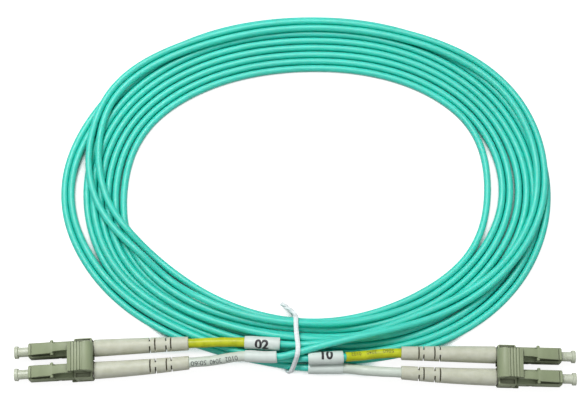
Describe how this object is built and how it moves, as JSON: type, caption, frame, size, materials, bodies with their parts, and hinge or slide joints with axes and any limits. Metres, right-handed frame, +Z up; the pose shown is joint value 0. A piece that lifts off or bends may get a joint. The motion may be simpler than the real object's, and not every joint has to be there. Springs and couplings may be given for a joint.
{
  "type": "fibre optic patch cord",
  "caption": "Coiled duplex fibre optic patch cord: latched square plugs in duplex clips with press triggers, dust caps, long boots, coloured sleeves and a wire tie round the coil.",
  "frame": {"origin": "on the floor below the middle of the bounding box", "axes": "+X to the right along the line from one pair of plugs to the other, -Y to the side with the tie and the plugs, +Z up from the surface that the coil lies on, towards the latches"},
  "size_m": [0.1558, 0.113, 0.0094],
  "materials": {
    "aqua_jacket": "satin soft jacket",
    "fibre_buffer": "smooth buffer coating",
    "plug_plastic": "fine satin moulding, olive beige",
    "boot_rubber": "matt off-white elastomer",
    "cap_plastic": "smooth translucent white",
    "yellow_sleeve": "shrunk tubing, semi-gloss",
    "white_sleeve": "shrunk tubing and marker tube, satin",
    "ceramic": "polished zirconia ceramic",
    "plated_metal": "nickel plated",
    "yarn": "folded aramid yarn",
    "tie_plastic": "plastic covered wire ribbon"
  },
  "bodies": {
    "cord_and_plugs": {"cord_jacket_outer": "aqua_jacket", "cord_jacket_inner": "aqua_jacket", "buffered_fibre_outer": "fibre_buffer", "buffered_fibre_inner": "fibre_buffer", "wire_tie": "tie_plastic", "duplex_clip_left": "plug_plastic", "duplex_clip_right": "plug_plastic", "plug_housing_left_front": "plug_plastic", "back_post_left_front": "plated_metal", "aramid_yarn_left_front": "yarn", "crimp_sleeve_left_front": "plated_metal", "boot_left_front": "boot_rubber", "id_sleeve_left_front": "white_sleeve", "marker_sleeve_left_front": "white_sleeve", "ferrule_spring_left_front": "plated_metal", "plug_housing_left_back": "plug_plastic", "back_post_left_back": "plated_metal", "aramid_yarn_left_back": "yarn", "crimp_sleeve_left_back": "plated_metal", "boot_left_back": "boot_rubber", "id_sleeve_left_back": "yellow_sleeve", "marker_sleeve_left_back": "white_sleeve", "ferrule_spring_left_back": "plated_metal", "plug_housing_right_front": "plug_plastic", "back_post_right_front": "plated_metal", "aramid_yarn_right_front": "yarn", "crimp_sleeve_right_front": "plated_metal", "boot_right_front": "boot_rubber", "id_sleeve_right_front": "white_sleeve", "marker_sleeve_right_front": "white_sleeve", "ferrule_spring_right_front": "plated_metal", "plug_housing_right_back": "plug_plastic", "back_post_right_back": "plated_metal", "aramid_yarn_right_back": "yarn", "crimp_sleeve_right_back": "plated_metal", "boot_right_back": "boot_rubber", "id_sleeve_right_back": "yellow_sleeve", "marker_sleeve_right_back": "white_sleeve", "ferrule_spring_right_back": "plated_metal"},
    "trigger_left": {"trigger_left": "plug_plastic"},
    "trigger_right": {"trigger_right": "plug_plastic"},
    "latch_left_front": {"latch_left_front": "plug_plastic"},
    "ferrule_unit_left_front": {"ferrule_left_front": "ceramic", "ferrule_holder_left_front": "plated_metal"},
    "dust_cap_left_front": {"dust_cap_left_front": "cap_plastic"},
    "latch_left_back": {"latch_left_back": "plug_plastic"},
    "ferrule_unit_left_back": {"ferrule_left_back": "ceramic", "ferrule_holder_left_back": "plated_metal"},
    "dust_cap_left_back": {"dust_cap_left_back": "cap_plastic"},
    "latch_right_front": {"latch_right_front": "plug_plastic"},
    "ferrule_unit_right_front": {"ferrule_right_front": "ceramic", "ferrule_holder_right_front": "plated_metal"},
    "dust_cap_right_front": {"dust_cap_right_front": "cap_plastic"},
    "latch_right_back": {"latch_right_back": "plug_plastic"},
    "ferrule_unit_right_back": {"ferrule_right_back": "ceramic", "ferrule_holder_right_back": "plated_metal"},
    "dust_cap_right_back": {"dust_cap_right_back": "cap_plastic"}
  },
  "joints": [
    {"name": "trigger_left_press", "type": "hinge", "parent": "cord_and_plugs", "child": "trigger_left", "pos_m": [-0.0564, -0.04889, 0.00665], "axis": [0.0576, -0.9983, 0], "range_deg": [0, 9], "stiffness_Nm_per_rad": 0.00002, "springref_deg": -17.19},
    {"name": "trigger_right_press", "type": "hinge", "parent": "cord_and_plugs", "child": "trigger_right", "pos_m": [0.05654, -0.05076, 0.00665], "axis": [0.0244, 0.9997, 0], "range_deg": [0, 9], "stiffness_Nm_per_rad": 0.00002, "springref_deg": -17.19},
    {"name": "latch_left_front_bend", "type": "hinge", "parent": "cord_and_plugs", "child": "latch_left_front", "pos_m": [-0.07204, -0.05292, 0.00561], "axis": [0.0576, -0.9983, 0], "range_deg": [-5.8, 0], "stiffness_Nm_per_rad": 0.00003, "springref_deg": 11.46},
    {"name": "ferrule_left_front_slide", "type": "slide", "parent": "cord_and_plugs", "child": "ferrule_unit_left_front", "axis": [0.9983, 0.0576, 0], "range_m": [0, 0.0008], "stiffness_N_per_m": 5, "springref_m": -0.004, "deforming": ["ferrule_spring_left_front"]},
    {"name": "dust_cap_left_front_pull", "type": "slide", "parent": "cord_and_plugs", "child": "dust_cap_left_front", "axis": [-0.9983, -0.0576, 0], "range_m": [0, 0.006]},
    {"name": "latch_left_back_bend", "type": "hinge", "parent": "cord_and_plugs", "child": "latch_left_back", "pos_m": [-0.0724, -0.04668, 0.00561], "axis": [0.0576, -0.9983, 0], "range_deg": [-5.8, 0], "stiffness_Nm_per_rad": 0.00003, "springref_deg": 11.46},
    {"name": "ferrule_left_back_slide", "type": "slide", "parent": "cord_and_plugs", "child": "ferrule_unit_left_back", "axis": [0.9983, 0.0576, 0], "range_m": [0, 0.0008], "stiffness_N_per_m": 5, "springref_m": -0.004, "deforming": ["ferrule_spring_left_back"]},
    {"name": "dust_cap_left_back_pull", "type": "slide", "parent": "cord_and_plugs", "child": "dust_cap_left_back", "axis": [-0.9983, -0.0576, 0], "range_m": [0, 0.006]},
    {"name": "latch_right_front_bend", "type": "hinge", "parent": "cord_and_plugs", "child": "latch_right_front", "pos_m": [0.0723, -0.05427, 0.00561], "axis": [0.0244, 0.9997, 0], "range_deg": [-5.8, 0], "stiffness_Nm_per_rad": 0.00003, "springref_deg": 11.46},
    {"name": "ferrule_right_front_slide", "type": "slide", "parent": "cord_and_plugs", "child": "ferrule_unit_right_front", "axis": [-0.9997, 0.0244, 0], "range_m": [0, 0.0008], "stiffness_N_per_m": 5, "springref_m": -0.004, "deforming": ["ferrule_spring_right_front"]},
    {"name": "dust_cap_right_front_pull", "type": "slide", "parent": "cord_and_plugs", "child": "dust_cap_right_front", "axis": [0.9997, -0.0244, 0], "range_m": [0, 0.006]},
    {"name": "latch_right_back_bend", "type": "hinge", "parent": "cord_and_plugs", "child": "latch_right_back", "pos_m": [0.07246, -0.04802, 0.00561], "axis": [0.0244, 0.9997, 0], "range_deg": [-5.8, 0], "stiffness_Nm_per_rad": 0.00003, "springref_deg": 11.46},
    {"name": "ferrule_right_back_slide", "type": "slide", "parent": "cord_and_plugs", "child": "ferrule_unit_right_back", "axis": [-0.9997, 0.0244, 0], "range_m": [0, 0.0008], "stiffness_N_per_m": 5, "springref_m": -0.004, "deforming": ["ferrule_spring_right_back"]},
    {"name": "dust_cap_right_back_pull", "type": "slide", "parent": "cord_and_plugs", "child": "dust_cap_right_back", "axis": [0.9997, -0.0244, 0], "range_m": [0, 0.006]}
  ],
  "couplings": [
    {"joint": "latch_left_front_bend", "follows": "trigger_left_press", "ratio": -0.644},
    {"joint": "latch_left_back_bend", "follows": "trigger_left_press", "ratio": -0.644},
    {"joint": "latch_right_front_bend", "follows": "trigger_right_press", "ratio": -0.644},
    {"joint": "latch_right_back_bend", "follows": "trigger_right_press", "ratio": -0.644}
  ]
}
